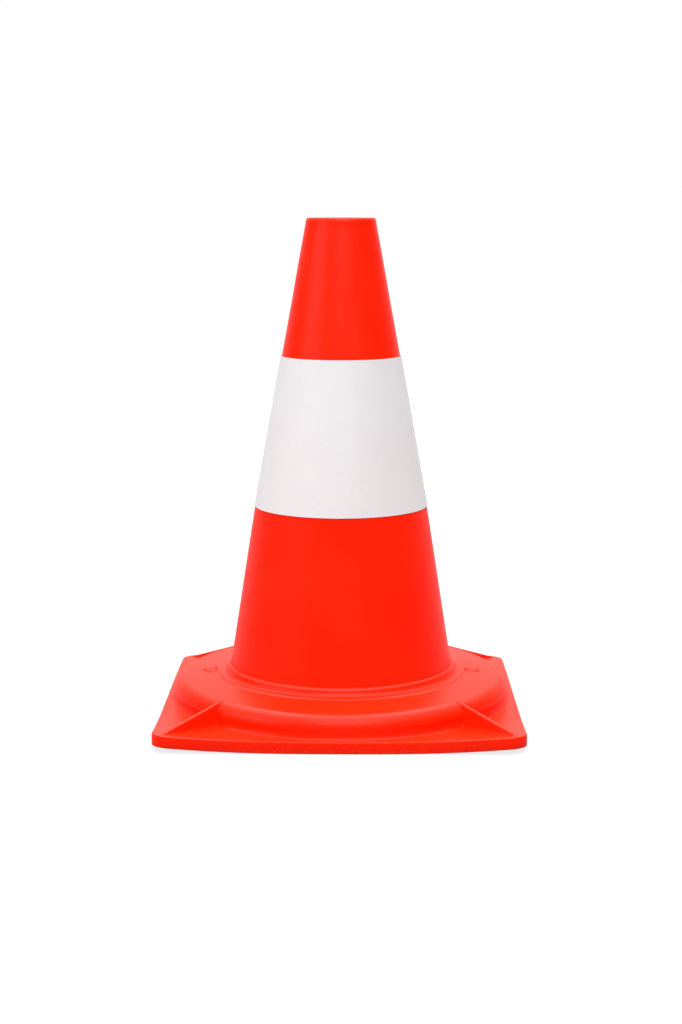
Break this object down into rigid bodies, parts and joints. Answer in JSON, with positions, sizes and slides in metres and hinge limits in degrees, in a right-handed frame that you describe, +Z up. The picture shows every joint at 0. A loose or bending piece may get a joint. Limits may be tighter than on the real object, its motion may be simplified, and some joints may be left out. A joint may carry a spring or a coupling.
{
  "type": "traffic cone",
  "caption": "Small hollow road cone on a square ribbed base whose front corners curl up, and a white slip-on sleeve around its middle.",
  "frame": {"origin": "on the floor under the cone's axis", "axes": "+Z up along the cone's axis, the square base's sides along X and Y, the two low lugs on the X axis, and the two curled corners towards -Y"},
  "size_m": [0.215, 0.215, 0.3],
  "materials": {
    "base_plastic": "soft moulded plastic, red-orange, satin to glossy",
    "cone_plastic": "soft moulded plastic, red-orange, satin to glossy",
    "sleeve_sheet": "thin white reflective sheet, satin"
  },
  "bodies": {
    "cone": {"square_base": "base_plastic", "cone_shell": "cone_plastic"},
    "sleeve": {"reflective_sleeve": "sleeve_sheet"}
  },
  "joints": [
    {"name": "sleeve_lift_off", "type": "slide", "parent": "cone", "child": "sleeve", "axis": [0, 0, 1], "range_m": [0, 0.18]}
  ]
}
